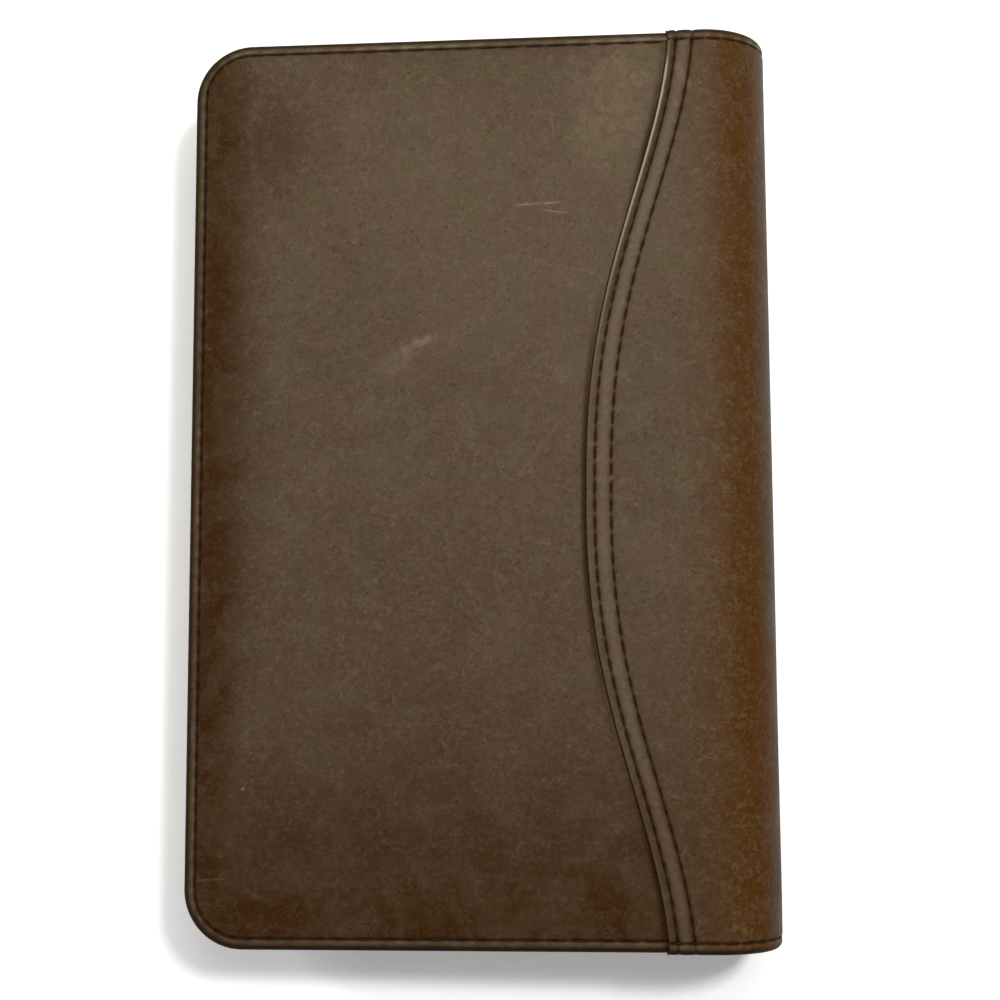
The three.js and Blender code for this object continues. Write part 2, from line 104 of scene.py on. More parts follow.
room = {
    "worldLight": 0.19,
    "floorColour": (0.93, 0.93, 0.93, 1),
    "floorGlow": (0.23, 0.9),
    "glowReach": (0.3, 1.0),
    "lamps": [
        # name, place, aim, size, power, colour, shows in gloss
        ("key_lamp", (0.30, 0.235, 0.92), (0, 0, 0), (0.12, 0.12), 6.0, (1, 0.99, 0.97), False),
        ("left_lamp", (-0.60, 0.23, 0.55), (0, 0, 0.02), (0.06, 0.30), 1.6, (1, 0.99, 0.95), True),
        ("top_lamp", (0.09, 0.33, 0.79), (0, 0, 0), (0.36, 0.5), 2.4, (1, 0.99, 0.95), True),
    ],
}
for lamp in room["lamps"]:
    addLamp(*lamp)

bpy.context.scene.view_settings.view_transform = 'Standard'
world = bpy.data.worlds.new("pale_room")
bpy.context.scene.world = world
world.use_nodes = True
worldNodes = world.node_tree.nodes
worldLinks = world.node_tree.links
worldNodes.clear()
worldOut = worldNodes.new("ShaderNodeOutputWorld")
worldMix = worldNodes.new("ShaderNodeMixShader")
worldLight = worldNodes.new("ShaderNodeBackground")
worldLight.inputs["Color"].default_value = (1, 1, 1, 1)
worldLight.inputs["Strength"].default_value = room["worldLight"]
worldWhite = worldNodes.new("ShaderNodeBackground")
worldWhite.inputs["Color"].default_value = (1, 1, 1, 1)
worldWhite.inputs["Strength"].default_value = 1
worldPath = worldNodes.new("ShaderNodeLightPath")
worldLinks.new(worldPath.outputs["Is Camera Ray"], worldMix.inputs["Fac"])
worldLinks.new(worldLight.outputs[0], worldMix.inputs[1])
worldLinks.new(worldWhite.outputs[0], worldMix.inputs[2])
worldLinks.new(worldMix.outputs[0], worldOut.inputs["Surface"])


# materials
print("materials")


class Painter:
    def __init__(self, name):
        self.material = bpy.data.materials.new(name)
        self.material.use_nodes = True
        self.nodes = self.material.node_tree.nodes
        self.links = self.material.node_tree.links
        self.shader = self.nodes["Principled BSDF"]
        self.place = self.nodes.new("ShaderNodeTexCoord").outputs["Object"]

    def set(self, socket, value):
        if hasattr(value, "links"):
            self.links.new(value, self.shader.inputs[socket])
        else:
            self.shader.inputs[socket].default_value = value

    def moved(self, location=(0, 0, 0), rotation=(0, 0, 0), scale=(1, 1, 1), source=None):
        node = self.nodes.new("ShaderNodeMapping")
        node.inputs["Location"].default_value = location
        node.inputs["Rotation"].default_value = rotation
        node.inputs["Scale"].default_value = scale
        self.links.new(source or self.place, node.inputs["Vector"])
        return node.outputs["Vector"]

    def noise(self, scale, detail=3, roughness=0.55, distortion=0, source=None):
        node = self.nodes.new("ShaderNodeTexNoise")
        node.inputs["Scale"].default_value = scale
        node.inputs["Detail"].default_value = detail
        node.inputs["Roughness"].default_value = roughness
        node.inputs["Distortion"].default_value = distortion
        self.links.new(source or self.place, node.inputs["Vector"])
        return node.outputs["Fac"]

    def cells(self, scale):
        node = self.nodes.new("ShaderNodeTexVoronoi")
        node.inputs["Scale"].default_value = scale
        self.links.new(self.place, node.inputs["Vector"])
        return node.outputs["Distance"]

    def range(self, value, low, high, toLow=0, toHigh=1):
        node = self.nodes.new("ShaderNodeMapRange")
        node.interpolation_type = 'SMOOTHSTEP'
        node.inputs["From Min"].default_value = low
        node.inputs["From Max"].default_value = high
        node.inputs["To Min"].default_value = toLow
        node.inputs["To Max"].default_value = toHigh
        self.links.new(value, node.inputs["Value"])
        return node.outputs["Result"]

    def math(self, operation, first, second=None):
        node = self.nodes.new("ShaderNodeMath")
        node.operation = operation
        for socket, value in zip(node.inputs, (first, second)):
            if value is None:
                continue
            if hasattr(value, "links"):
                self.links.new(value, socket)
            else:
                socket.default_value = value
        return node.outputs["Value"]

    def mix(self, factor, first, second):
        node = self.nodes.new("ShaderNodeMix")
        node.data_type = 'RGBA'
        for number, value in ((0, factor), (6, first), (7, second)):
            if hasattr(value, "links"):
                self.links.new(value, node.inputs[number])
            else:
                node.inputs[number].default_value = value if number == 0 else (*value, 1)
        return node.outputs[2]

    def attribute(self, name):
        node = self.nodes.new("ShaderNodeAttribute")
        node.attribute_name = name
        return node.outputs["Fac"]

    def axis(self, letter, source=None):
        node = self.nodes.new("ShaderNodeSeparateXYZ")
        self.links.new(source or self.place, node.inputs[0])
        return node.outputs[letter]

    def level(self):
        # 1 where the face looks straight up or down, 0 on the sides
        normal = self.nodes.new("ShaderNodeNewGeometry").outputs["Normal"]
        return self.math('ABSOLUTE', self.axis("Z", normal))

    def length(self, source):
        node = self.nodes.new("ShaderNodeVectorMath")
        node.operation = 'LENGTH'
        self.links.new(source, node.inputs[0])
        return node.outputs["Value"]

    def bump(self, height, distance, strength):
        node = self.nodes.new("ShaderNodeBump")
        node.inputs["Strength"].default_value = strength
        node.inputs["Distance"].default_value = distance
        self.links.new(height, node.inputs["Height"])
        return node.outputs["Normal"]


def shaded(colour, part):
    return tuple(part * c for c in colour)


def leather(name, look):
    paint = Painter(name)
    clouds = paint.noise(look["cloudScale"], 4, 0.6, 0.4)
    blotch = paint.noise(look["blotchScale"], 5, 0.65, 0.3)
    patches = paint.noise(look["patchScale"], 4, 0.62, 0.5, paint.moved(location=(3.1, 1.7, 0.4)))
    grain = paint.noise(look["grainScale"], 4, 0.7)
    pits = paint.noise(look["pitScale"], 2, 0.5, 0.3)
    fibre = paint.noise(look["fibreScale"], 6, 0.75, 1.2)
    colour = paint.mix(paint.range(clouds, 0.34, 0.66), look["deep"], look["body"])
    # reddish and olive patches lie side by side
    colour = paint.mix(paint.range(patches, 0.5, 0.68, 0, 0.75), colour, look["olive"])
    colour = paint.mix(paint.range(patches, 0.5, 0.33, 0, 0.75), colour, look["warm"])
    colour = paint.mix(paint.range(blotch, 0.5, 0.78, 0, 0.6), colour, look["pale"])
    # the fold colour, darker and warmer over the spine's fold, where the painted sheen of the flat cover
    # falls away as the leather turns from the light
    if look.get("fold"):
        fold = paint.range(clouds, 0.3, 0.7, 0.9, 1.1)
        fold = paint.math('MULTIPLY', paint.attribute("fold"), fold)
        fold = paint.math('MULTIPLY', fold, paint.range(blotch, 0.3, 0.6, 0.82, 1.05))
        colour = paint.mix(fold, colour, look["fold"])
    # the edge colour, darker and warmer: on the covers partly the leather's own dark edges, partly where
    # the painted sheen falls away
    if look.get("edge"):
        edge = paint.attribute("edge")
        ragged = paint.math('MULTIPLY', edge, paint.range(blotch, 0.3, 0.7, 0.86, 1.08))
        ragged = paint.math('MULTIPLY', ragged, paint.range(patches, 0.6, 0.4, 0.84, 1.1))
        colour = paint.mix(ragged, colour, look["edge"])
    # fine pale curls run every way, broken into short pieces, with a few straight scratches
    curls = None
    for scale, shift in look["curls"]:
        line = paint.noise(scale, 1, 0.5, 0.6, paint.moved(location=(shift, shift, shift)))
        line = paint.range(paint.math('ABSOLUTE', paint.math('SUBTRACT', line, 0.5)), 0.05, 0.008)
        curls = line if curls is None else paint.math('MAXIMUM', curls, line)
    curls = paint.math('MULTIPLY', curls, paint.range(fibre, 0.42, 0.62))
    streak = paint.moved(scale=(1, 0.1, 0.5), source=paint.moved(rotation=(0, 0, 0.7)))
    streak = paint.range(paint.noise(520, 1, 0.5, 0.2, streak), 0.73, 0.82, 0, 0.6)
    marks = paint.math('MAXIMUM', curls, streak)
    if look.get("edge"):
        # the edges are waxed dark, and darker still where the painted sheen falls away, so little of the
        # pale fibre shows there
        marks = paint.math('MULTIPLY', marks, paint.range(edge, 0, 1, 1, 0.42))
    colour = paint.mix(paint.math('MULTIPLY', marks, look["marks"]), colour, look["scratch_and_sheen"])
    paleGrain = paint.range(grain, 0.44, 0.7, 0, 0.3)
    if look.get("edge"):
        paleGrain = paint.math('MULTIPLY', paleGrain, paint.range(edge, 0, 1, 1, 0.5))
    colour = paint.mix(paleGrain, colour, look["pale"])
    dark = shaded(look["deep"], 0.45)
    colour = paint.mix(paint.range(grain, 0.46, 0.3, 0, 0.4), colour, dark)
    colour = paint.mix(paint.range(pits, 0.37, 0.25, 0, 0.85), colour, dark)
    rub_and_highlight = None
    if look.get("seam"):
        rub_and_highlight = paint.attribute("rub_and_highlight")
        # the pale bead colour: a painted highlight along the beads, partly pale wear
        colour = paint.mix(paint.math('MULTIPLY', rub_and_highlight, 0.6), colour, look["rubbed_highlight"])
        # dark stitch rows, with painted shade on the rims' roll, beside and along the lap's edge and on its
        # bead's far side
        colour = paint.mix(paint.attribute("seam"), colour, look["seam"])
    for place, turn, size, strength in look.get("scuffs_and_sheen", ()):
        # each is a soft flat ellipse, broken up by the fibres: patches of wear, and on the panel one broad
        # painted sheen near the head
        near = paint.moved(location=tuple(-c * mm for c in place))
        near = paint.moved(rotation=(0, 0, math.radians(-turn)), source=near)
        near = paint.moved(scale=(1 / (size[0] * mm), 1 / (size[1] * mm), 0), source=near)
        scuffAndSheen = paint.range(paint.length(near), 1, 0.25)
        broken = paint.range(fibre, 0.36, 0.62, 0.25 * strength, strength)
        scuffAndSheen = paint.math('MULTIPLY', scuffAndSheen, broken)
        colour = paint.mix(scuffAndSheen, colour, look["scratch_and_sheen"])
    paint.set("Base Color", colour)
    rough = paint.range(blotch, 0.25, 0.8, look["rough"] - 0.07, look["rough"] + 0.1)
    rough = paint.math('ADD', rough, paint.range(grain, 0.3, 0.7, -0.06, 0.08))
    if rub_and_highlight is not None:
        # handling polishes the raised beads
        rough = paint.math('SUBTRACT', rough, paint.math('MULTIPLY', rub_and_highlight, 0.27))
    paint.set("Roughness", rough)
    height = paint.math('ADD', paint.cells(look["pebble"]), paint.math('MULTIPLY', fibre, 1.1))
    height = paint.math('SUBTRACT', height, paint.math('MULTIPLY', curls, look["crease"]))
    if rub_and_highlight is not None:
        height = paint.math('MULTIPLY', height, paint.range(rub_and_highlight, 0.2, 0.8, 1, 0.25))
    paint.set("Normal", paint.bump(height, look["relief"], look["grain"]))
    paint.set("Specular IOR Level", look["gloss"])
    paint.set("Coat Weight", look["wax"])
    paint.set("Coat Roughness", look["waxRough"])
    paint.set("Specular Tint", (*look["glossTint"], 1))
    return paint.material


caseScuffsAndSheen = [
    # place, turn in degrees, half length and half width, strength
    ((11.8, 60.5, 30), 2.6, (7.5, 0.42), 0.75),
    ((15.8, 58.7, 30), -9, (4.5, 0.32), 0.5),
    ((15.5, 78.0, 30), -80, (3.6, 0.35), 0.3),
    ((-13.9, 30.1, 30), 22, (6.4, 1.3), 0.34),
    ((-19.0, 26.0, 30), 35, (9.0, 3.6), 0.16),
    ((-51.0, -65.1, 28), 60, (0.55, 0.45), 0.9),
    # a broad pale patch near the head: painted sheen
    ((28.5, 84.0, 31), 75, (23.0, 13.0), 0.2),
    ((-57.5, -84.0, 28), 3, (5.0, 0.3), 0.22),
]

# deep, body, pale and olive are lighter and greyer than the bare leather, with the cover's sheen painted
# into them; the edge and fold colours are the darker, warmer leather where that painted sheen falls away;
# the pale bead colour is partly a painted highlight, and the dark stitch-row colour carries painted shade
# too
brownLeather = {
    "deep": (0.075, 0.049, 0.030),
    "body": (0.091, 0.061, 0.038),
    "pale": (0.111, 0.080, 0.052),
    "warm": (0.092, 0.053, 0.033),
    "olive": (0.084, 0.062, 0.035),
    "edge": (0.034, 0.0115, 0.001),
    "fold": (0.070, 0.0235, 0.0005),
    "rubbed_highlight": (0.460, 0.382, 0.285),
    "seam": (0.016, 0.0065, 0.001),
    "scratch_and_sheen": (0.240, 0.185, 0.125),
    "cloudScale": 24,
    "blotchScale": 108,
    "patchScale": 85,
    "grainScale": 850,
    "pitScale": 1500,
    "fibreScale": 260,
    "curls": ((480, 0.2), (800, 1.1)),
    "pebble": 1150,
    "relief": 0.00014,
    "grain": 0.45,
    "crease": 0.5,
    "rough": 0.45,
    "gloss": 0.06,
    "glossTint": (1, 0.92, 0.74),
    "wax": 0.02,
    "waxRough": 0.3,
    "marks": 0.2,
}
leathers = {
    "panel_leather": dict(brownLeather, scuffs_and_sheen=caseScuffsAndSheen),
    "wrap_leather": dict(brownLeather, scuffs_and_sheen=[
        ((27.3, 0.0, 32), 80, (1.6, 0.5), 0.7),
        ((44.0, 88.0, 34), -62, (4.6, 1.3), 0.4),
    ]),
    "front_skin_leather": dict(brownLeather, marks=0.22),
    "lining_leather": dict(
        brownLeather, deep=(0.030, 0.016, 0.008), body=(0.044, 0.025, 0.013), pale=(0.060, 0.037, 0.021),
        warm=(0.038, 0.017, 0.008), olive=(0.042, 0.026, 0.012), edge=(0.022, 0.011, 0.006),
        fold=None, seam=None, rough=0.6, pebble=1500, marks=0.1, wax=0.05),
    "pocket_leather": dict(
        brownLeather, deep=(0.046, 0.024, 0.011), body=(0.060, 0.033, 0.016), pale=(0.080, 0.050, 0.028),
        warm=(0.050, 0.021, 0.008), olive=(0.056, 0.033, 0.013), edge=None,
        fold=None, seam=None, rough=0.54, wax=0.15),
}
finishes = {name: leather(name, look) for name, look in leathers.items()}


def threadFinish(name, colour):
    paint = Painter(name)
    twist = paint.noise(2600, 2, 0.5)
    paint.set("Base Color", paint.mix(paint.range(twist, 0.3, 0.7), colour, shaded(colour, 2.2)))
    paint.set("Roughness", 0.75)
    paint.set("Specular IOR Level", 0.2)
    paint.set("Normal", paint.bump(twist, 0.00008, 0.6))
    return paint.material


def nickelFinish(name, colour, rough):
    paint = Painter(name)
    haze = paint.noise(90, 4, 0.6)
    hair = paint.noise(900, 2, 0.5, 0, paint.moved(scale=(1, 0.04, 1)))
    paint.set("Base Color", paint.mix(paint.range(haze, 0.3, 0.7), colour, shaded(colour, 0.9)))
    paint.set("Metallic", 1.0)
    paint.set("Roughness", paint.math('ADD', paint.range(haze, 0.3, 0.75, rough, rough + 0.1),
                                      paint.range(hair, 0.4, 0.7, 0, 0.05)))
    paint.set("Normal", paint.bump(hair, 0.00002, 0.3))
    return paint.material


def paperFinish(name, look):
    paint = Painter(name)
    tint = paint.noise(60, 3, 0.6)
    colour = paint.mix(paint.range(tint, 0.3, 0.7), look["colour"], shaded(look["colour"], 0.94))
    height = paint.noise(1400, 3, 0.6)
    if look.get("leaf"):
        # the cut edges of single leaves, level with the sheets, drawn as dark lines: painted shade in the
        # gaps between leaves
        leaf = paint.moved(rotation=(0, math.radians(look["lean"]), 0))
        level = paint.math('MULTIPLY', paint.axis("Z", leaf), 1 / look["leaf"])
        level = paint.math('ADD', level, paint.range(paint.noise(55, 2), 0.3, 0.7, 0, 1.3))
        line = paint.math('PINGPONG', level, 0.5)
        side = paint.range(paint.level(), 0.75, 0.35)
        dark = paint.math('MULTIPLY', paint.range(line, 0.17, 0.03, 0, 0.42), side)
        colour = paint.mix(dark, colour, shaded(look["colour"], 0.42))
    if look.get("ruled"):
        run = paint.math('PINGPONG', paint.math('MULTIPLY', paint.axis("Y"), 1 / look["ruled"]), 0.5)
        rule = paint.range(run, 0.035, 0.012, 0, 0.55)
        face = paint.range(paint.level(), 0.6, 0.8)
        colour = paint.mix(paint.math('MULTIPLY', rule, face), colour, (0.30, 0.36, 0.42))
    paint.set("Base Color", colour)
    paint.set("Roughness", look["rough"])
    paint.set("Specular IOR Level", 0.25)
    paint.set("Normal", paint.bump(height, 0.00005, 0.5))
    return paint.material


def filmFinish(name):
    paint = Painter(name)
    wave = paint.noise(45, 2, 0.5)
    paint.set("Base Color", (0.4, 0.42, 0.42, 1))
    paint.set("Roughness", paint.range(wave, 0.3, 0.7, 0.05, 0.16))
    paint.set("Alpha", 0.07)
    paint.set("Normal", paint.bump(wave, 0.0004, 0.3))
    return paint.material


def boardFinish(name, colour):
    paint = Painter(name)
    fleck = paint.noise(500, 5, 0.7)
    paint.set("Base Color", paint.mix(paint.range(fleck, 0.4, 0.65), colour, shaded(colour, 0.7)))
    paint.set("Roughness", 0.85)
    paint.set("Normal", paint.bump(fleck, 0.0001, 0.4))
    return paint.material


finishes["edge_thread"] = threadFinish("edge_thread", (0.012, 0.006, 0.002))
finishes["inside_thread"] = threadFinish("inside_thread", (0.030, 0.017, 0.009))
finishes["nickel_plate"] = nickelFinish("nickel_plate", (0.62, 0.60, 0.57), 0.17)
finishes["spring_steel"] = nickelFinish("spring_steel", (0.50, 0.49, 0.47), 0.28)
finishes["writing_paper"] = paperFinish("writing_paper", {
    "colour": (0.78, 0.72, 0.59), "leaf": 0.00021, "lean": 2.42, "ruled": 0.0065, "rough": 0.8})
finishes["pad_paper"] = paperFinish("pad_paper", {
    "colour": (0.80, 0.76, 0.66), "leaf": 0.0002, "lean": 4.1, "ruled": 0.007, "rough": 0.8})
finishes["buff_card"] = paperFinish("buff_card", {"colour": (0.55, 0.43, 0.26), "rough": 0.7})
finishes["grey_card"] = paperFinish("grey_card", {"colour": (0.33, 0.29, 0.23), "rough": 0.85})
finishes["clear_film"] = filmFinish("clear_film")
finishes["grey_board"] = boardFinish("grey_board", (0.25, 0.20, 0.14))


# shared making
def deselect():
    if bpy.context.object and bpy.context.object.mode != 'OBJECT':
        bpy.ops.object.mode_set(mode='OBJECT')
    bpy.ops.object.select_all(action='DESELECT')


def pick(piece):
    deselect()
    piece.select_set(True)
    bpy.context.view_layer.objects.active = piece


def applyModifiers(piece):
    pick(piece)
    for modifier in list(piece.modifiers):
        bpy.ops.object.modifier_apply(modifier=modifier.name)


def thicken(piece, thickness):
    # a wall inwards from the visible face
    wall = piece.modifiers.new("thickness", 'SOLIDIFY')
    wall.thickness = thickness * mm
    wall.offset = -1
    applyModifiers(piece)


def editAll():
    bpy.ops.object.mode_set(mode='EDIT')
    bpy.ops.mesh.select_all(action='SELECT')


def endEdit():
    bpy.ops.object.mode_set(mode='OBJECT')


def smooth(piece, degrees=35):
    pick(piece)
    bpy.ops.object.shade_smooth_by_angle(angle=math.radians(degrees))


def finish(piece, material):
    piece.data.materials.clear()
    piece.data.materials.append(finishes[material])


def wrapPoint(run, rise):
    # run goes round the case from the middle of the spine, plus towards the back cover's fore edge,
    # minus towards the front cover's; rise is out of the leather's face
    run, rise = np.broadcast_arrays(np.asarray(run, float), np.asarray(rise, float))
    up = run >= 0
    side = np.abs(run)
    radius = case["foldRadius"]
    last = np.where(up, math.pi / 2 + case["backTilt"], math.pi / 2)
    turn = np.clip((side - case["halfSpine"]) / radius, 0, last)
    flat = np.maximum(side - case["halfSpine"] - radius * last, 0)
    short = np.maximum(case["halfSpine"] - side, 0)
    x = case["foldX"] + (radius + rise) * np.cos(turn) - flat * np.sin(turn)
    z = (radius + rise) * np.sin(turn) + flat * np.cos(turn) - short
    return x, np.where(up, case["upperFold"] + z, case["lowerFold"] - z)


def gridPiece(name, rows, columns):
    deselect()
    bpy.ops.mesh.primitive_grid_add(x_subdivisions=columns - 1, y_subdivisions=rows - 1, size=1)
    piece = bpy.context.object
    piece.name = name
    piece.data.name = name
    return piece


def setPlaces(piece, x, y, z):
    places = np.stack([x, y, z], axis=-1).reshape(-1, 3) * mm
    piece.data.vertices.foreach_set("co", places.astype(np.float32).ravel())
    piece.data.update()


def setAttribute(piece, name, values):
    attribute = piece.data.attributes.new(name, 'FLOAT', 'POINT')
    attribute.data.foreach_set("value", np.asarray(values, np.float32).ravel())


def deleteFaces(piece, unwanted):
    # takes the unwanted faces out and welds what is left
    pick(piece)
    bpy.ops.object.mode_set(mode='EDIT')
    bpy.ops.mesh.select_all(action='DESELECT')
    bpy.ops.object.mode_set(mode='OBJECT')
    piece.data.polygons.foreach_set("select", unwanted)
    bpy.ops.object.mode_set(mode='EDIT')
    bpy.ops.mesh.select_mode(type='FACE')
    piece.data.update()
    bpy.ops.mesh.delete(type='FACE')
    bpy.ops.mesh.select_mode(type='VERT')
    bpy.ops.mesh.select_all(action='SELECT')
    bpy.ops.mesh.remove_doubles(threshold=weldGap)
    endEdit()


# how a turned and stitched edge falls away, going in from the rim
turnedEdge = {
    "roll": 1.9,
    "drop": 1.45,
    "groove": 2.45,
    "grooveWide": 0.25,
    "grooveDeep": 0.46,
    "pinch": 0.2,
    "under": [(0.0, -1.8), (0.03, -2.4), (0.16, -2.8), (0.42, -3.1), (0.85, -3.28), (1.9, -3.3)],
    "fineLines": [2.02, 2.14, 2.24, 2.34, 2.45, 2.57, 2.7, 2.87, 3.15, 3.6, 4.15, 4.8],
}


def evenLines(first, last, count):
    return [first + (last - first) * (i + 1) / count for i in range(count)]


def edgeLines(full):
    # distances from an edge inwards: fine over the roll and the groove, then a quarter of a stitch each
    roll = [turnedEdge["roll"] * (1 - math.cos(math.radians(a))) for a in range(0, 91, 15)]
    fine = turnedEdge["fineLines"]
    count = int(round((full - fine[-1]) / (case["pitch"] / 4)))
    return roll + fine + evenLines(fine[-1], full, count)


def hump(value, middle, wide, power=2):
    # 1 at the middle, falling away on both sides
    return np.exp(-((value - middle) / wide) ** power)


def rollHeight(depth):
    roll = turnedEdge["roll"]
    part = np.clip((roll - depth) / roll, 0, 1)
    return -turnedEdge["drop"] * (1 - np.sqrt(1 - part ** 2))


def dash(along):
    # 1 along a stitch, 0 where the leather bridges between two stitches
    part = along / case["pitch"] + 0.5
    return 1 - np.exp(-((part - np.floor(part) - 0.5) * case["pitch"] / 0.45) ** 2)


def needleHole(along):
    # 1 at each needle hole, 0 half way between two
    return 0.5 - 0.5 * np.cos(2 * math.pi * along / case["pitch"])


def grooveHeight(depth, along):
    hole = needleHole(along)
    groove = hump(depth, turnedEdge["groove"], turnedEdge["grooveWide"])
    groove = -turnedEdge["grooveDeep"] * (0.4 + 0.6 * dash(along)) * groove
    pinch = -turnedEdge["pinch"] * hole * hump(depth, 2.1, 0.7)
    swell = 0.05 * (1 - hole) * hump(depth, 3.6, 0.8)
    return groove + pinch + swell


def rowSeam(depth, along):
    # the dark line of a stitch row, wider at each needle hole
    return (0.18 + 0.8 * dash(along)) * hump(depth, 0, 0.26 + 0.11 * needleHole(along))


def rimSeamAndShade(depth, along):
    # the stitch row, and painted shade on the rim's roll where it turns down at the very rim
    groove = rowSeam(depth - turnedEdge["groove"], along)
    return np.maximum(groove, 0.97 * np.clip(3.1 - depth / 0.4, 0, 1))


def rimRubAndHighlight(depth, along, headIn):
    # the bead outside the stitch row is smoothed and paled by wear between the needle holes, and painted
    # lighter along its crest as a highlight, most at the head
    patchy = 0.62 + 0.38 * np.sin(along / 9.3 + 1.7 * np.sin(along / 21.0))
    wearAndHighlight = 0.17 + 0.33 * np.clip((5 - headIn) / 3, 0, 1)
    return wearAndHighlight * (1 - 0.7 * needleHole(along)) * patchy * hump(depth, 1.86, 0.28)


def patinaAndSheenFalloff(left, tail, head, strength=1.0):
    # darker and warmer towards the fore edge and the tail, hardly at all towards the head: partly the
    # leather's own dark edges, partly where the painted sheen of the cover falls away
    part = np.clip((left - 5) / 16, 0, 1)
    dark = 0.97 * (1 - part * part * (3 - 2 * part))
    dark = np.maximum(dark, 0.95 * np.exp(-(tail / 55) ** 1.5))
    dark = np.maximum(dark, 0.58 * hump(left, 15, 9) * hump(head, 22, 15))
    dark = np.maximum(dark, 0.5 * np.exp(-head / 4))
    rim = np.minimum(left, np.minimum(tail, head))
    return strength * dark * np.clip((rim - 1.7) / 0.9, 0.62, 1)


def gentle(x, y, size):
    # slow unevenness by hand, in millimetres
    return size * (
        np.sin(x / 11.3 + 1.3 * np.sin(y / 23.0)) * np.sin(y / 17.9 + 0.8)
        + 0.6 * np.sin(x / 6.1 + y / 9.7 + 2.1)
        + 0.5 * np.sin(x / 19.0 - y / 12.2 + 0.4)
    )


def seamRun(y):
    # the folded S edge of the spine leather, as a run round the case
    part = np.clip(np.abs((y + 1.4) / 103.4), 0, 1)
    reach = 26.1 - 17.7 * (0.5 - 0.5 * np.cos(math.pi * part ** 1.26))
    return case["halfSpine"] + case["upperArc"] + reach - 0.0125 * y


class Corners:
    # the two fore corners of a cover: square rings of lines are drawn out to round ones
    def __init__(self, fore, end, radius):
        p = np.clip((radius - fore) / radius, 0, 1)
        q = np.clip((radius - end) / radius, 0, 1)
        long = np.hypot(p, q) + 1e-12
        ring = np.maximum(p, q)
        self.inside = (p > 0) & (q > 0)
        self.outFore = p / long
        self.outEnd = q / long
        self.fore = np.where(self.inside, radius - radius * ring * p / long, fore)
        self.end = np.where(self.inside, radius - radius * ring * q / long, end)
        self.depth = np.where(self.inside, radius * (1 - ring), np.minimum(fore, end))
        self.angle = np.arctan2(q, p)


def endRows(halfLength):
    # lines from the tail to the head, each end with its wall: distance in, step down the wall, side
    half = edgeLines(halfLength)
    steps = len(turnedEdge["under"])
    lines = np.array([0.0] * steps + half + half[-2::-1] + [0.0] * steps)
    rows = len(lines)
    wall = np.array([max(steps - j, j - (rows - 1 - steps), 0) for j in range(rows)])
    side = np.array([-1.0 if j < rows / 2 else 1.0 for j in range(rows)])
    return lines, wall, side


def wallPlace(wall):
    # how far in and down each step of the turned edge's wall lies
    under = turnedEdge["under"]
    return np.array([0.0] + [w[0] for w in under])[wall], np.array([0.0] + [w[1] for w in under])[wall]


def coverSkin(shape):
    # one skin over a cover: its rim on three sides, its open side at the spine
    steps = len(turnedEdge["under"])
    foreLines = np.array([0.0] * steps + edgeLines(shape["across"]))
    foreWall = np.array([max(steps - i, 0) for i in range(len(foreLines))])
    endLines, endWall, side = endRows(shape["halfLength"])
    fore, end = np.meshgrid(foreLines, endLines)
    foreWall, endWall = np.meshgrid(foreWall, endWall)
    corners = Corners(fore, end, shape["corner"])
    middle = shape["halfLength"] - shape["corner"]
    pastCorner = middle + shape["corner"] * math.pi / 2 + fore - shape["corner"]
    along = np.where(fore < end, shape["halfLength"] - end, pastCorner)
    along = np.where(corners.inside, middle + shape["corner"] * corners.angle, along)
    # walls: the rim point, moved in and down by the turned edge's own section
    outFore = np.where(corners.inside, corners.outFore, np.where(fore < end, 1.0, 0.0))
    outEnd = np.where(corners.inside, corners.outEnd, np.where(fore < end, 0.0, 1.0))
    onEnd = (endWall > 0) & ~corners.inside
    onFore = (foreWall > 0) & ~corners.inside
    outFore = np.where(onFore, 1.0, np.where(onEnd, 0.0, outFore))
    outEnd = np.where(onEnd, 1.0, np.where(onFore, 0.0, outEnd))
    wall = np.maximum(foreWall, endWall)
    wallIn, wallDrop = wallPlace(wall)
    rise = np.where(wall > 0, wallDrop, rollHeight(corners.depth) + grooveHeight(corners.depth, along))
    return {
        "side": np.repeat(side[:, None], len(foreLines), axis=1),
        "fore": corners.fore + wallIn * outFore,
        "end": corners.end + wallIn * outEnd,
        "depth": corners.depth,
        "along": along,
        "rise": rise,
        "wall": wall,
        # faces past both rims at once are the same corner point over and over
        "doubled": (foreWall[:-1, :-1] > 0) & ((endWall[:-1, :-1] > 0) | (endWall[1:, :-1] > 0)),
    }


def closeSkin(piece, doubled):
    deleteFaces(piece, doubled.ravel())
    thicken(piece, case["skin"])


# back cover
print("main panel")
panel = {
    "across": 84.0,
    "halfLength": 98.6,
    "corner": 12.6,
    "low": -0.5,
    "sink": 0.37,
    "underLap": 6.0,
    "fixed": 14,
}
skin = coverSkin(panel)
depth, along = skin["depth"], skin["along"]
y = skin["side"] * (panel["halfLength"] - skin["end"])
# columns beyond the fixed ones are shared out so that the last one lies under the lap at every height
fixed = panel["fixed"]
full = case["backEdge"] - (seamRun(y) - panel["underLap"])
shared = fixed + (skin["fore"] - fixed) * (full - fixed) / (panel["across"] - fixed)
run = case["backEdge"] - np.where(skin["fore"] > fixed, shared, skin["fore"])
lapped = np.clip((seamRun(y) + 0.3 - run) / 1.6, 0, 1)
pillow = 0.12 * hump(depth, 9, 5) + gentle(run, y, 0.035) * np.clip((depth - 4) / 6, 0, 1)
pillow = np.where(skin["wall"] > 0, 0, pillow)
rise = skin["rise"] + pillow + panel["low"] - panel["sink"] * lapped ** 2 * (3 - 2 * lapped)
x, z = wrapPoint(run, rise)
mainPanel = gridPiece("main_panel", *x.shape)
setPlaces(mainPanel, x, y, z)
headIn = panel["halfLength"] - y
tailIn = panel["halfLength"] + y
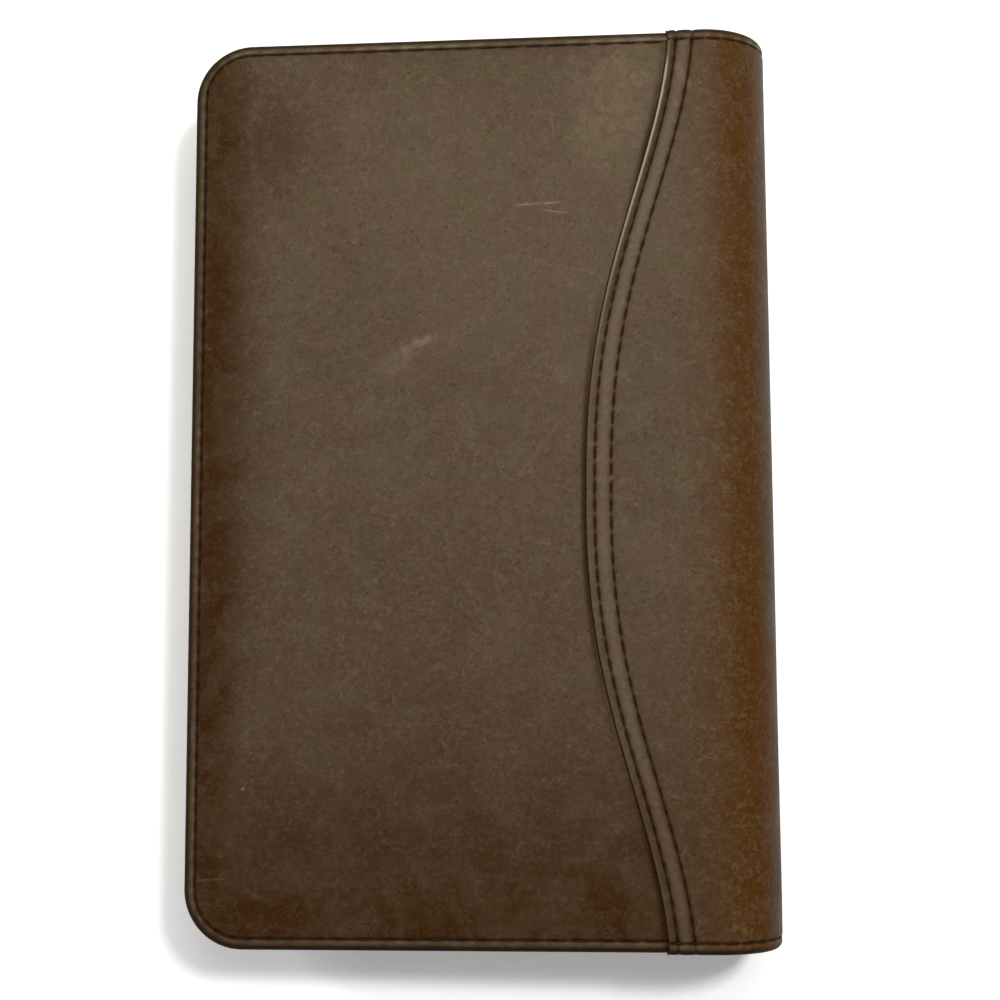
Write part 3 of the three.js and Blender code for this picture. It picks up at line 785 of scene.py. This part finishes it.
setAttribute(mainPanel, "edge", patinaAndSheenFalloff(skin["fore"], tailIn, headIn))
setAttribute(mainPanel, "rub_and_highlight", rimRubAndHighlight(depth, along, headIn))
setAttribute(mainPanel, "fold", np.zeros_like(x))
shadeWide = 0.46 - 0.17 * np.clip(y / 60, 0, 1)
lapShade = 0.97 * hump(run, seamRun(y) + 0.2, shadeWide)
setAttribute(mainPanel, "seam", np.maximum(rimSeamAndShade(depth, along), lapShade))
closeSkin(mainPanel, skin["doubled"])
smooth(mainPanel)
finish(mainPanel, "panel_leather")
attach(mainPanel, "back_cover")
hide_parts("back_panel_leather")

print("spine leather, back half")
lap = {
    "halfLength": 98.95,
    "beadIn": (0, 0.06, 0.14, 0.3, 0.5, 0.7, 0.85, 1.0, 1.2, 1.4, 1.6, 2.0),
    "beadRise": (-0.5, -0.33, -0.24, -0.155, -0.06, 0.02, 0.065, 0.09, 0.1, 0.08, 0.04, 0),
    "rows": (2.0, 5.5),
    "rowWide": 0.24,
    "rowDeep": 0.42,
    "lines": [
        0.0, 0.02, 0.07, 0.14, 0.22, 0.31, 0.4, 0.5, 0.6, 0.72, 0.85, 1.0, 1.15, 1.35, 1.55, 1.72,
        1.86, 2.0, 2.14, 2.28, 2.5, 2.9, 3.5, 4.2, 4.8, 5.1, 5.3, 5.5, 5.7, 5.9, 6.3, 7.0,
    ],
    "restCount": 38,
}


def lapHeight(into, along):
    # the folded edge stands up as a bead, and each stitch row lies in its own groove
    height = np.interp(into, lap["beadIn"], lap["beadRise"])
    for row in lap["rows"]:
        groove = hump(into, row, lap["rowWide"])
        height = height - lap["rowDeep"] * (0.45 + 0.55 * dash(along)) * groove
        height = height - 0.12 * needleHole(along) * hump(into, row, 0.7)
    return height + 0.1 * hump(into, 3.7, 1.0)


# the last columns share out what is left as far as the middle of the spine
lastLine = lap["lines"][-1]
restCount = lap["restCount"]
restPart = np.array([0.0] * len(lap["lines"]) + evenLines(0, 1, restCount))
into = np.array(lap["lines"] + evenLines(lastLine, lastLine + restCount, restCount))
endLines, endWall, side = endRows(lap["halfLength"])
rest, wall = np.meshgrid(restPart, endWall)
into, endIn = np.meshgrid(into, endLines)
wallIn, wallDrop = wallPlace(wall)
y = side[:, None] * (lap["halfLength"] - endIn - wallIn)
start = seamRun(y)
run = np.where(rest > 0, (start - lastLine) * (1 - rest), start - into)
top = np.where(rest > 0, 0, lapHeight(into, y))
slow = gentle(run, y, 0.03) * np.clip((endIn - 4) / 6, 0, 1) * np.clip((into - lastLine) / 5, 0, 1)
slow = slow * np.clip(run / 6, 0, 1)
rise = rollHeight(endIn) + grooveHeight(endIn, run) + top + slow
rise = np.where(wall > 0, wallDrop + np.minimum(top, 0) * 0.25, rise)
x, z = wrapPoint(run, rise)
spineBack = gridPiece("spine_leather_back", *x.shape)
setPlaces(spineBack, x, y, z)
rowLinesAndShade = np.zeros_like(run)
for row in lap["rows"]:
    rowLinesAndShade = np.maximum(rowLinesAndShade, rowSeam(into - row, y))
# painted shadow along the lap's own folded edge
rowLinesAndShade = np.maximum(rowLinesAndShade, np.clip(2.6 - into / 0.13, 0, 1) * 0.97)
# painted shade on the bead's far side, darker towards the head
flankShade = 0.5 * np.clip((y - 15) / 30, 0, 1) * hump(into, 1.4, 0.42)
rowLinesAndShade = np.maximum(rowLinesAndShade, flankShade)
setAttribute(spineBack, "seam", np.maximum(rimSeamAndShade(endIn, run), rowLinesAndShade))
headIn = lap["halfLength"] - y
tailIn = lap["halfLength"] + y
# the warm band over the fold, where the painted sheen falls away, wider towards the tail
foldAt = case["halfSpine"] + case["upperArc"] * 0.62
foldWide = 8.5 + 4 * np.clip(-y / 90, 0, 1)
foldSheenFalloff = hump(run, foldAt, foldWide)
setAttribute(spineBack, "fold", foldSheenFalloff)
dark = patinaAndSheenFalloff(farAway, tailIn, headIn, 0.8) * (1 - 0.85 * foldSheenFalloff)
setAttribute(spineBack, "edge", dark + 0.35 * np.clip((5 - run) / 20, 0, 1))
# painted highlight along the lap's bead, strongest towards the head and fading at the head end, with a
# faint painted glint on the band between the stitch rows
beadHighlightStrength = np.clip(0.6 + 0.66 * np.tanh((y - 50) / 22), 0.07, 1.3) * np.clip((94 - y) / 4, 0.12, 1)
beadHighlight = beadHighlightStrength * hump(into, 0.62, 0.23, 4)
bandGlint = 0.1 * hump(into, 3.7, 0.95, 4)
seamRub = np.where(endIn > 2.4, beadHighlight + bandGlint, 0)
setAttribute(spineBack, "rub_and_highlight", np.maximum(rimRubAndHighlight(endIn, run, headIn), seamRub))
closeSkin(spineBack, np.zeros(len(spineBack.data.polygons), bool))
for vertex in spineBack.data.vertices:
    # the turned end stays inside the case's own length
    vertex.co.y = max(-lap["halfLength"] * mm, min(lap["halfLength"] * mm, vertex.co.y))
smooth(spineBack)
finish(spineBack, "wrap_leather")
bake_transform(spineBack)
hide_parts("back_spine_leather", "spine_leather")

print("front skin and spine leather, front half")
front = {
    "across": case["frontEdge"],
    "halfLength": 98.95,
    "corner": 12.9,
}
skin = coverSkin(front)
depth, along = skin["depth"], skin["along"]
y = skin["side"] * (front["halfLength"] - skin["end"])
run = -(case["frontEdge"] - skin["fore"])
flatPart = np.clip((depth - 4) / 6, 0, 1) * np.clip(-run / 6, 0, 1)
pillow = -0.03 * flatPart + gentle(run, y, 0.012) * flatPart
rise = np.minimum(skin["rise"] + np.where(skin["wall"] > 0, 0, pillow), 0)
x, z = wrapPoint(run, rise)
# its outside looks down, so head and tail change places to keep the faces outwards
frontSkin = gridPiece("front_skin", *x.shape)
setPlaces(frontSkin, x, -y, z)
setAttribute(frontSkin, "seam", rimSeamAndShade(depth, along))
setAttribute(frontSkin, "edge", patinaAndSheenFalloff(skin["fore"], front["halfLength"] + y, front["halfLength"] - y, 0.9))
setAttribute(frontSkin, "rub_and_highlight", rimRubAndHighlight(depth, along, farAway))
# the same warm band over the front fold, where the painted sheen falls away
foldAt = case["halfSpine"] + case["lowerArc"] * 0.6
setAttribute(frontSkin, "fold", 0.9 * hump(run, -foldAt, 7.5))
closeSkin(frontSkin, skin["doubled"])
smooth(frontSkin)
finish(frontSkin, "front_skin_leather")
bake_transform(frontSkin)
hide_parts("front_leather", "spine_leather")


# linings
print("linings")
lining = {
    "inset": 0.95,
    "face": -3.8,
    "thick": 0.5,
    "spineFlat": 10.461,
    "flatHalf": 5.5,
    "corner": 11.5,
    "groove": 1.3,
    "edgeLines": [0, 0.3, 0.7, 0.95, 1.15, 1.3, 1.45, 1.65, 2.0, 2.6, 3.6, 5.0],
}


def liningRise(run):
    # the visible face: under the covers 3.8 in, over the spine board flat behind the ring housing
    side = np.abs(run)
    last = np.where(run > 0, math.pi / 2 + case["backTilt"], math.pi / 2)
    turn = np.clip((side - case["halfSpine"]) / case["foldRadius"], 0, last)
    flatTurn = math.atan2(lining["flatHalf"], lining["spineFlat"])
    onFlat = lining["spineFlat"] / np.cos(np.minimum(turn, flatTurn)) - case["foldRadius"]
    past = np.clip((turn - flatTurn) / (last / 2 - flatTurn), 0, 1)
    past = past * past * (3 - 2 * past)
    deeper = 0.5 * np.sin(math.pi * turn / last) ** 2
    return onFlat + (lining["face"] - onFlat) * past + deeper


def liningSheet(name, edgeRun, upward):
    halfLength = case["halfLength"] - lining["inset"]
    across = edgeRun - lining["inset"]
    firsts = lining["edgeLines"]
    acrossLines = firsts + evenLines(firsts[-1], across, int(across / 1.7))
    half = firsts + evenLines(firsts[-1], halfLength, int(halfLength / 2.4))
    fore, end = np.meshgrid(np.array(acrossLines), np.array(half + half[-2::-1]))
    rows = len(fore)
    side = np.where(np.arange(rows) < rows / 2, -1.0, 1.0)[:, None]
    corners = Corners(fore, end, lining["corner"])
    y = side * (halfLength - corners.end)
    run = upward * (across - corners.fore)
    rise = liningRise(run)
    rise = rise + 0.16 * hump(corners.depth, lining["groove"], 0.4)
    rise = rise + 0.25 * np.clip(1 - corners.depth / 0.35, 0, 1)
    x, z = wrapPoint(run, rise)
    piece = gridPiece(name, *x.shape)
    setPlaces(piece, x, -upward * y, z)
    setAttribute(piece, "edge", np.exp(-corners.depth / 5) * 0.6)
    thicken(piece, lining["thick"])
    smooth(piece)
    finish(piece, "lining_leather")
    return piece


# the linings bend only past the ring housing, clear of its blades and levers
backLining = liningSheet("lining_back", case["backEdge"], 1)
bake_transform(backLining)
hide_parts("back_lining", "spine_lining")
frontLining = liningSheet("lining_front", case["frontEdge"], -1)
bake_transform(frontLining)
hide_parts("front_lining", "spine_lining")


# stitches
print("stitches")
stitch = {
    "long": 3.1,
    "wide": 0.43,
    "high": 0.3,
}


def sewRow(name, points, thread, size=1.0):
    # one stitch, repeated along the row by an array and laid on its path by a curve
    points = np.asarray(points, float)
    steps = np.linalg.norm(np.diff(points, axis=0), axis=1)
    total = steps.sum()
    count = max(int(round(total / case["pitch"])), 1)
    pitch = total / count
    track = bpy.data.curves.new(name + "_track", 'CURVE')
    track.dimensions = '3D'
    spline = track.splines.new('POLY')
    spline.points.add(len(points) - 1)
    for place, point in zip(spline.points, points):
        place.co = (*(point * mm), 1)
    trackPiece = bpy.data.objects.new(name + "_track", track)
    bpy.context.collection.objects.link(trackPiece)
    deselect()
    bpy.ops.mesh.primitive_uv_sphere_add(segments=6, ring_count=6, radius=0.5 * mm)
    piece = bpy.context.object
    piece.name = name
    piece.data.name = name
    editAll()
    bpy.ops.transform.rotate(value=math.pi / 2, orient_axis='Y', center_override=(0, 0, 0))
    sides = (stitch["long"] * size, stitch["wide"] * size, stitch["high"] * size)
    bpy.ops.transform.resize(value=sides, center_override=(0, 0, 0))
    bpy.ops.transform.translate(value=(pitch / 2 * mm, 0, 0))
    endEdit()
    repeat = piece.modifiers.new("repeat", 'ARRAY')
    repeat.count = count
    repeat.use_relative_offset = False
    repeat.use_constant_offset = True
    repeat.constant_offset_displace = (pitch * mm, 0, 0)
    follow = piece.modifiers.new("follow", 'CURVE')
    follow.object = trackPiece
    follow.deform_axis = 'POS_X'
    applyModifiers(piece)
    bpy.data.objects.remove(trackPiece)
    smooth(piece, 60)
    finish(piece, thread)
    return piece


def rimPath(shape, edgeRun, inset, rise, stopRun, upward=1):
    # round a cover's rim at one inset, from the tail side at stopRun to the head side
    corner = shape["corner"] - inset
    outer = edgeRun - inset
    side = shape["halfLength"] - inset
    path = [(r, -side) for r in np.linspace(stopRun[0], outer - corner, 60)]
    path += [(outer - corner + corner * math.sin(t), -side + corner - corner * math.cos(t))
             for t in np.linspace(0.05, math.pi / 2, 24)]
    path += [(outer, y) for y in np.linspace(-side + corner, side - corner, 80)[1:]]
    path += [(outer - corner + corner * math.cos(t), side - corner + corner * math.sin(t))
             for t in np.linspace(0.05, math.pi / 2, 24)]
    path += [(r, side) for r in np.linspace(outer - corner, stopRun[1], 60)[1:]]
    path = np.array(path)
    x, z = wrapPoint(path[:, 0] * upward, rise)
    return np.stack([x, path[:, 1], z], axis=-1)


stitchRise = -0.28
groove = turnedEdge["groove"]
headY = panel["halfLength"] - groove
stops = (seamRun(-headY) + 1, seamRun(headY) + 1)
path = rimPath(panel, case["backEdge"], groove, panel["low"] + stitchRise, stops)
panelStitches = sewRow("panel_edge_stitches", path, "edge_thread")
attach(panelStitches, "back_cover")

for number, into in enumerate(lap["rows"], 1):
    reach = lap["halfLength"] - groove - 0.6
    y = np.linspace(-reach, reach, 240)
    x, z = wrapPoint(seamRun(y) - into, stitchRise + 0.03)
    seamStitches = sewRow("seam_stitches_%d" % number, np.stack([x, y, z], axis=-1), "edge_thread")
    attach(seamStitches, "back_cover")

for end, side in (("head", 1), ("tail", -1)):
    y = side * (lap["halfLength"] - groove)
    x, z = wrapPoint(np.linspace(seamRun(y) - 0.8, 0.2, 60), stitchRise)
    path = np.stack([x, np.full_like(x, y), z], axis=-1)
    endStitches = sewRow("spine_%s_stitches" % end, path, "edge_thread")
    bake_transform(endStitches)

path = rimPath(front, case["frontEdge"], groove, stitchRise, (0.2, 0.2), -1)
frontStitches = sewRow("front_edge_stitches", path, "edge_thread")
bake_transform(frontStitches)

insideRise = lining["face"] + 0.05
path = rimPath(front, case["backEdge"], groove + 0.05, insideRise, (30, 30))
backInside = sewRow("back_lining_stitches", path, "inside_thread", 0.9)
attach(backInside, "back_cover")
path = rimPath(front, case["frontEdge"], groove + 0.05, insideRise, (29, 29), -1)
frontInside = sewRow("front_lining_stitches", path, "inside_thread", 0.9)
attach(frontInside, "front_cover")


# pieces cut from the CAD shapes
def ease(piece, edge, degrees):
    # takes the sharpness off every edge steeper than so many degrees
    eased = piece.modifiers.new("eased", 'BEVEL')
    eased.width = edge * mm
    eased.segments = 2
    eased.limit_method = 'ANGLE'
    eased.angle_limit = math.radians(degrees)
    applyModifiers(piece)
    smooth(piece, 40)


def dressedCopy(name, node, material, edge):
    # a merged copy of a CAD part with its edges eased
    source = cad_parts[node]
    piece = bpy.data.objects.new(name, source.data.copy())
    bpy.context.collection.objects.link(piece)
    piece.data.name = name
    pick(piece)
    editAll()
    bpy.ops.mesh.remove_doubles(threshold=weldGap / 2)
    bpy.ops.mesh.dissolve_limited(angle_limit=math.radians(3))
    bpy.ops.mesh.normals_make_consistent(inside=False)
    endEdit()
    ease(piece, edge, 35)
    finish(piece, material)
    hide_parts(node)
    return piece


def pocketRow(name, corners):
    # a straight stitch row on a pocket's face
    points = np.linspace(np.array(corners[0], float), np.array(corners[1], float), 12)
    piece = sewRow(name, points, "inside_thread", 0.85)
    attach(piece, "front_cover")


print("pockets, notepad and rings")
dressed = [
    # piece, node, body, material, slot, eased edge
    ("slip_pocket_leather", "slip_pocket", "front_cover", "pocket_leather", "lining", 0.16),
    ("card_pocket_low", "card_pocket_1", "front_cover", "pocket_leather", "lining", 0.16),
    ("card_pocket_middle", "card_pocket_2", "front_cover", "pocket_leather", "lining", 0.16),
    ("card_pocket_high", "card_pocket_3", "front_cover", "pocket_leather", "lining", 0.16),
    ("window_film", "window_pane", "front_cover", "clear_film", "clear_film", 0.05),
    ("notepad_pocket", "notepad_panel", "back_cover", "pocket_leather", "lining", 0.16),
    ("notepad_backing", "notepad_card", "back_cover", "grey_card", "card", 0.06),
    ("notepad_paper", "notepad_sheets", "back_cover", "pad_paper", "paper", 0.05),
    ("notepad_head_strip", "notepad_binding", "back_cover", "pocket_leather", "card", 0.2),
    ("pen_holder", "pen_loop", "back_cover", "pocket_leather", "lining", 0.14),
    ("housing", "ring_housing", "spine", "nickel_plate", "nickel", 0.35),
    ("rivet_head", "head_rivet", "spine", "nickel_plate", "nickel", 0.25),
    ("rivet_tail", "tail_rivet", "spine", "nickel_plate", "nickel", 0.25),
    ("blade_upper", "upper_blade", "upper_ring_half", "spring_steel", "nickel", 0.12),
    ("blade_lower", "lower_blade", "lower_ring_half", "spring_steel", "nickel", 0.12),
    ("release_head", "head_lever", "head_release", "nickel_plate", "nickel", 0.3),
    ("release_tail", "tail_lever", "tail_release", "nickel_plate", "nickel", 0.3),
]
for name, node, body, material, slotName, edge in dressed:
    piece = dressedCopy(name, node, material, edge)
    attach(piece, body)

pocketRows = [
    # row, its two ends in millimetres
    ("slip_pocket_stitches", ((38.1, -93, 4.4), (38.1, 93, 4.4))),
    ("card_stitches_low", ((-57.5, 32.2, 4.97), (34, 32.2, 4.97))),
    ("card_stitches_middle", ((-57.5, 16.2, 5.54), (34, 16.2, 5.54))),
    ("card_stitches_high", ((-57.5, 0.2, 6.11), (34, 0.2, 6.11))),
    ("card_side_stitches", ((34.1, -93.6, 6.11), (34.1, -1.8, 6.11))),
]
for name, corners in pocketRows:
    pocketRow(name, corners)

ringShape = {
    "x": 46.961,
    "z": 18.0,
    "radius": 10.5,
    "wire": 1.0,
    "first": 16.95,
    "edge": 0.18,
    "places": (63.5, 44.45, 25.4, -25.4, -44.45, -63.5),
}


def halfRing(name, y, upward, node, body):
    deselect()
    centre = np.array((ringShape["x"], y, ringShape["z"])) * mm
    bpy.ops.mesh.primitive_circle_add(vertices=18, radius=ringShape["wire"] * mm, fill_type='NGON')
    piece = bpy.context.object
    piece.name = name
    piece.data.name = name
    start = math.radians(ringShape["first"])
    editAll()
    bpy.ops.transform.translate(value=(ringShape["radius"] * mm, 0, 0))
    endEdit()
    # the wire's section stands square to its path at the root, then it is spun round to the tip
    wire = piece.data
    for vertex in wire.vertices:
        out = vertex.co.x
        vertex.co = Vector((out * math.cos(start), vertex.co.y, out * math.sin(start)))
    editAll()
    turn = math.radians(180 - ringShape["first"])
    bpy.ops.mesh.spin(steps=36, angle=turn, center=(0, 0, 0), axis=(0, 1, 0))
    bpy.ops.mesh.select_all(action='SELECT')
    bpy.ops.mesh.remove_doubles(threshold=weldGap)
    endEdit()
    places = np.array([v.co for v in wire.vertices])
    places[:, 2] *= upward
    places += centre
    wire.vertices.foreach_set("co", places.astype(np.float32).ravel())
    wire.update()
    editAll()
    bpy.ops.mesh.normals_make_consistent(inside=False)
    endEdit()
    ease(piece, ringShape["edge"], 50)
    finish(piece, "nickel_plate")
    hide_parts(node)
    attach(piece, body)


for number, y in enumerate(ringShape["places"], 1):
    halfRing("ring_%d_upper" % number, y, 1, "upper_half_ring_%d" % number, "upper_ring_half")
    halfRing("ring_%d_lower" % number, y, -1, "lower_half_ring_%d" % number, "lower_ring_half")

for name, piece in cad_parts.items():
    if name.startswith("sheets_"):
        finish(piece, "writing_paper")
    elif name.startswith("divider_"):
        finish(piece, "buff_card")
    elif name.endswith("_board"):
        finish(piece, "grey_board")


# floor
print("floor")


def floorFinish(name):
    paint = Painter(name)
    paint.set("Base Color", room["floorColour"])
    paint.set("Roughness", 0.9)
    paint.set("Specular IOR Level", 0.0)
    paint.set("Emission Color", (1, 1, 1, 1))
    # the floor turns white by itself away from the case, where the lamps no longer reach
    glow = paint.range(paint.length(paint.place), *room["glowReach"], *room["floorGlow"])
    path = paint.nodes.new("ShaderNodeLightPath")
    paint.set("Emission Strength", paint.math('MULTIPLY', path.outputs["Is Camera Ray"], glow))
    return paint.material


finishes["pale_floor"] = floorFinish("pale_floor")
deselect()
bpy.ops.mesh.primitive_plane_add(size=6, location=(0, 0, -0.0002))
floor = bpy.context.object
floor.name = "pale_floor"
finish(floor, "pale_floor")
